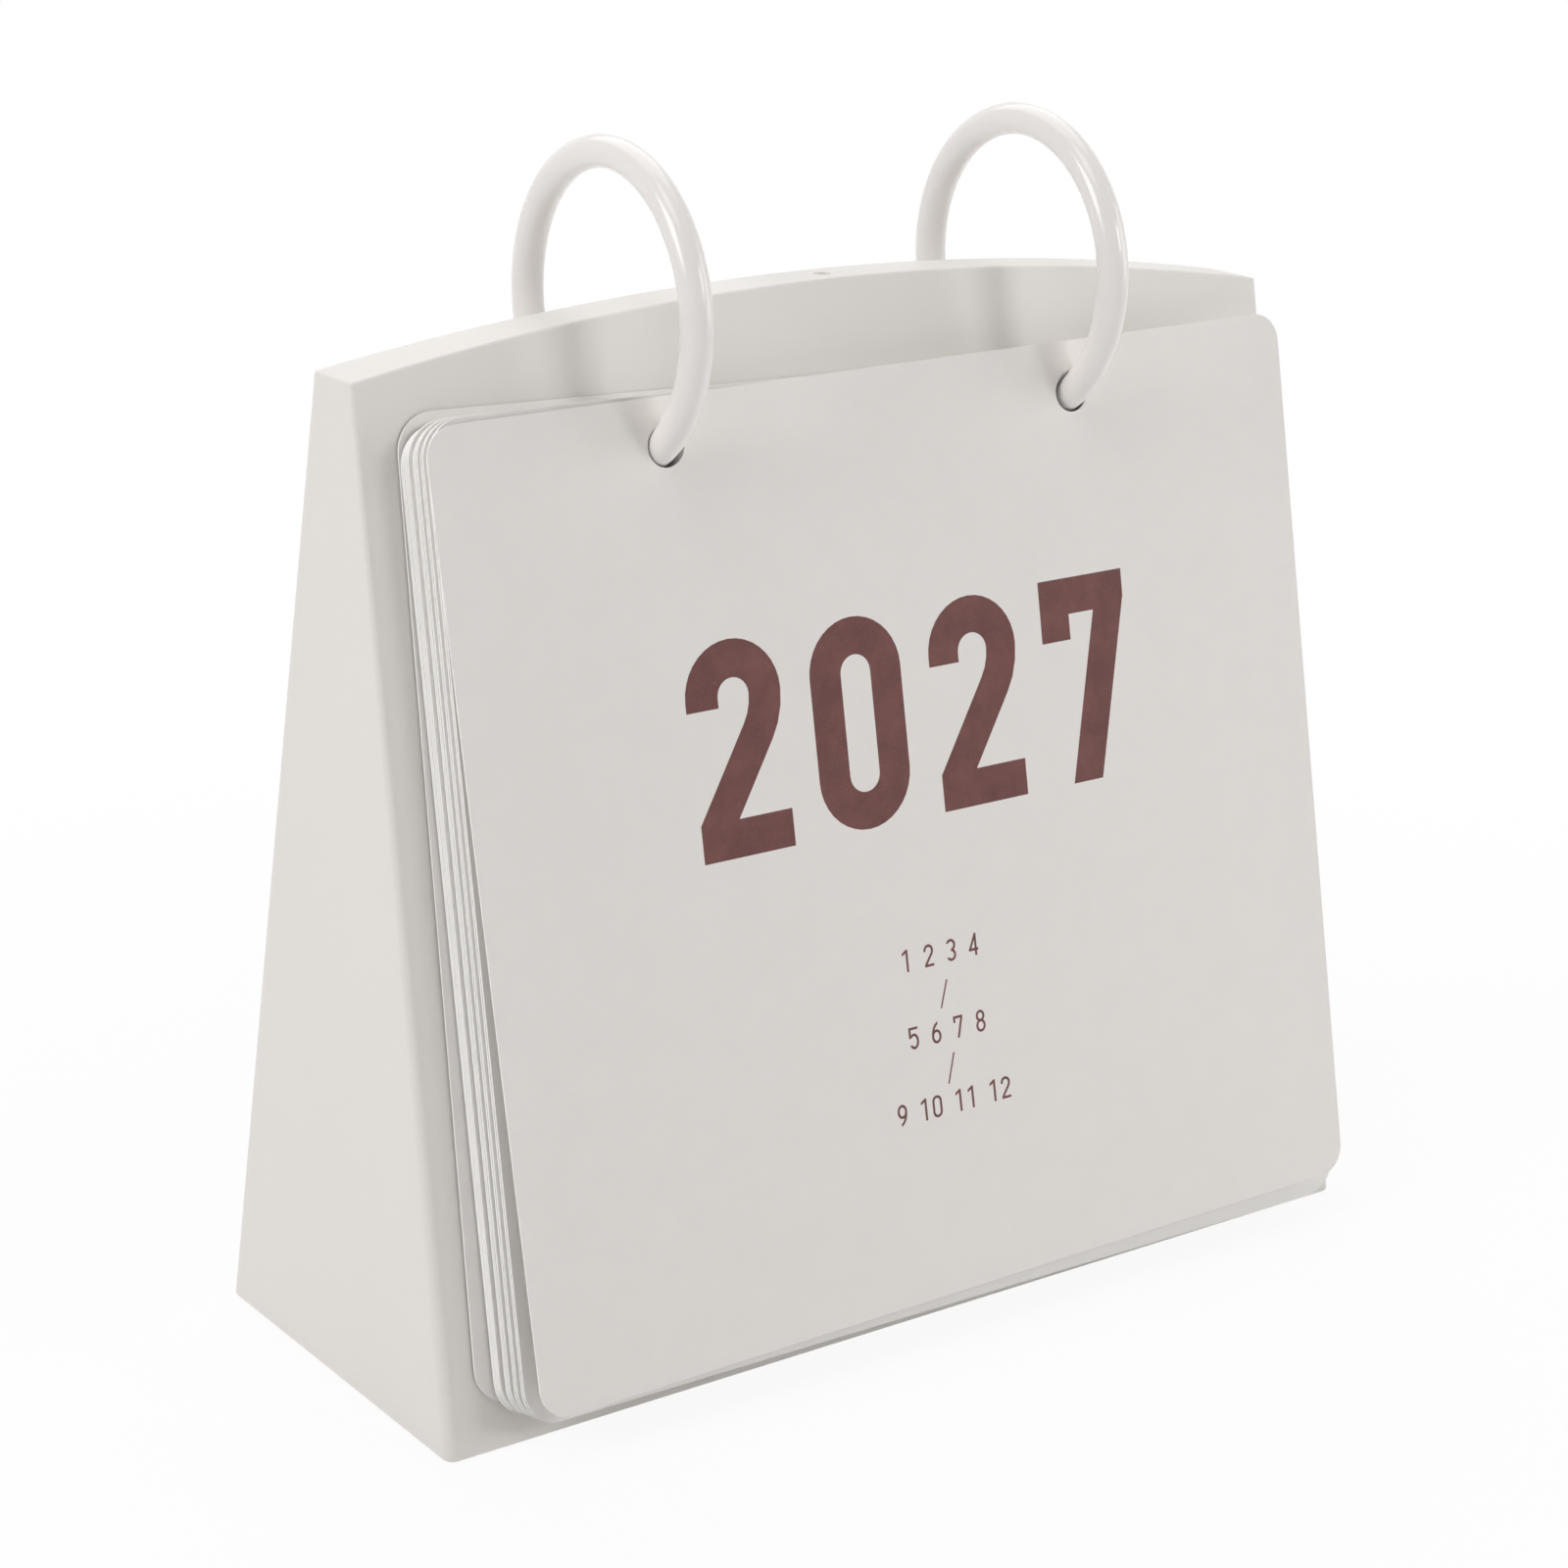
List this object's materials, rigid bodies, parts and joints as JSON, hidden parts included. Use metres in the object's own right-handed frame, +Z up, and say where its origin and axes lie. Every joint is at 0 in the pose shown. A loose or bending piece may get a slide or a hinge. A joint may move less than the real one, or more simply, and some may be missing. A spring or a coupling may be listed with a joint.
{
  "type": "desk calendar",
  "caption": "Desk calendar with a hollow wedge stand and loop rings through its top, carrying loose rounded card leaves that turn over the rings.",
  "frame": {"origin": "middle of the stand's foot, on the surface it stands on", "axes": "+Z up, the front with the leaves faces -Y, +X to the right seen from the front"},
  "size_m": [0.18, 0.0775, 0.1894],
  "materials": {
    "stand": "satin moulded",
    "ring": "semi-gloss moulded",
    "leaf": "matte card"
  },
  "bodies": {
    "stand": {"stand_shell": "stand"},
    "left_ring": {"left_ring": "ring"},
    "right_ring": {"right_ring": "ring"},
    "back_leaf": {"back_leaf": "leaf"},
    "month_leaf_12": {"month_leaf_12": "leaf"},
    "month_leaf_11": {"month_leaf_11": "leaf"},
    "month_leaf_10": {"month_leaf_10": "leaf"},
    "month_leaf_09": {"month_leaf_09": "leaf"},
    "month_leaf_08": {"month_leaf_08": "leaf"},
    "month_leaf_07": {"month_leaf_07": "leaf"},
    "month_leaf_06": {"month_leaf_06": "leaf"},
    "month_leaf_05": {"month_leaf_05": "leaf"},
    "month_leaf_04": {"month_leaf_04": "leaf"},
    "month_leaf_03": {"month_leaf_03": "leaf"},
    "month_leaf_02": {"month_leaf_02": "leaf"},
    "month_leaf_01": {"month_leaf_01": "leaf"},
    "cover_leaf": {"cover_leaf": "leaf"}
  },
  "joints": [
    {"name": "left_ring_turn", "type": "hinge", "parent": "stand", "child": "left_ring", "pos_m": [-0.0395, 0, 0.1635], "axis": [1, 0, 0], "continuous": true},
    {"name": "right_ring_turn", "type": "hinge", "parent": "stand", "child": "right_ring", "pos_m": [0.0395, 0, 0.1635], "axis": [1, 0, 0], "continuous": true},
    {"name": "back_leaf_lift", "type": "hinge", "parent": "stand", "child": "back_leaf", "pos_m": [0, 0, 0.1635], "axis": [1, 0, 0], "range_deg": [-25, 0]},
    {"name": "month_leaf_01_flip", "type": "hinge", "parent": "back_leaf", "child": "month_leaf_01", "pos_m": [0, 0, 0.1635], "axis": [1, 0, 0], "range_deg": [-250, 0]},
    {"name": "month_leaf_02_flip", "type": "hinge", "parent": "back_leaf", "child": "month_leaf_02", "pos_m": [0, 0, 0.1635], "axis": [1, 0, 0], "range_deg": [-250, 0]},
    {"name": "month_leaf_03_flip", "type": "hinge", "parent": "back_leaf", "child": "month_leaf_03", "pos_m": [0, 0, 0.1635], "axis": [1, 0, 0], "range_deg": [-250, 0]},
    {"name": "month_leaf_04_flip", "type": "hinge", "parent": "back_leaf", "child": "month_leaf_04", "pos_m": [0, 0, 0.1635], "axis": [1, 0, 0], "range_deg": [-250, 0]},
    {"name": "month_leaf_05_flip", "type": "hinge", "parent": "back_leaf", "child": "month_leaf_05", "pos_m": [0, 0, 0.1635], "axis": [1, 0, 0], "range_deg": [-250, 0]},
    {"name": "month_leaf_06_flip", "type": "hinge", "parent": "back_leaf", "child": "month_leaf_06", "pos_m": [0, 0, 0.1635], "axis": [1, 0, 0], "range_deg": [-250, 0]},
    {"name": "month_leaf_07_flip", "type": "hinge", "parent": "back_leaf", "child": "month_leaf_07", "pos_m": [0, 0, 0.1635], "axis": [1, 0, 0], "range_deg": [-250, 0]},
    {"name": "month_leaf_08_flip", "type": "hinge", "parent": "back_leaf", "child": "month_leaf_08", "pos_m": [0, 0, 0.1635], "axis": [1, 0, 0], "range_deg": [-250, 0]},
    {"name": "month_leaf_09_flip", "type": "hinge", "parent": "back_leaf", "child": "month_leaf_09", "pos_m": [0, 0, 0.1635], "axis": [1, 0, 0], "range_deg": [-250, 0]},
    {"name": "month_leaf_10_flip", "type": "hinge", "parent": "back_leaf", "child": "month_leaf_10", "pos_m": [0, 0, 0.1635], "axis": [1, 0, 0], "range_deg": [-250, 0]},
    {"name": "month_leaf_11_flip", "type": "hinge", "parent": "back_leaf", "child": "month_leaf_11", "pos_m": [0, 0, 0.1635], "axis": [1, 0, 0], "range_deg": [-250, 0]},
    {"name": "month_leaf_12_flip", "type": "hinge", "parent": "back_leaf", "child": "month_leaf_12", "pos_m": [0, 0, 0.1635], "axis": [1, 0, 0], "range_deg": [-250, 0]},
    {"name": "cover_flip", "type": "hinge", "parent": "month_leaf_01", "child": "cover_leaf", "pos_m": [0, 0, 0.1635], "axis": [-1, 0, 0], "range_deg": [0, 275]}
  ],
  "couplings": [
    {"joint": "month_leaf_02_flip", "follows": "month_leaf_01_flip", "ratio": 0.994},
    {"joint": "month_leaf_03_flip", "follows": "month_leaf_01_flip", "ratio": 0.988},
    {"joint": "month_leaf_04_flip", "follows": "month_leaf_01_flip", "ratio": 0.982},
    {"joint": "month_leaf_05_flip", "follows": "month_leaf_01_flip", "ratio": 0.976},
    {"joint": "month_leaf_06_flip", "follows": "month_leaf_01_flip", "ratio": 0.97},
    {"joint": "month_leaf_07_flip", "follows": "month_leaf_01_flip", "ratio": 0.964},
    {"joint": "month_leaf_08_flip", "follows": "month_leaf_01_flip", "ratio": 0.958},
    {"joint": "month_leaf_09_flip", "follows": "month_leaf_01_flip", "ratio": 0.952},
    {"joint": "month_leaf_10_flip", "follows": "month_leaf_01_flip", "ratio": 0.946},
    {"joint": "month_leaf_11_flip", "follows": "month_leaf_01_flip", "ratio": 0.94},
    {"joint": "month_leaf_12_flip", "follows": "month_leaf_01_flip", "ratio": 0.934}
  ]
}
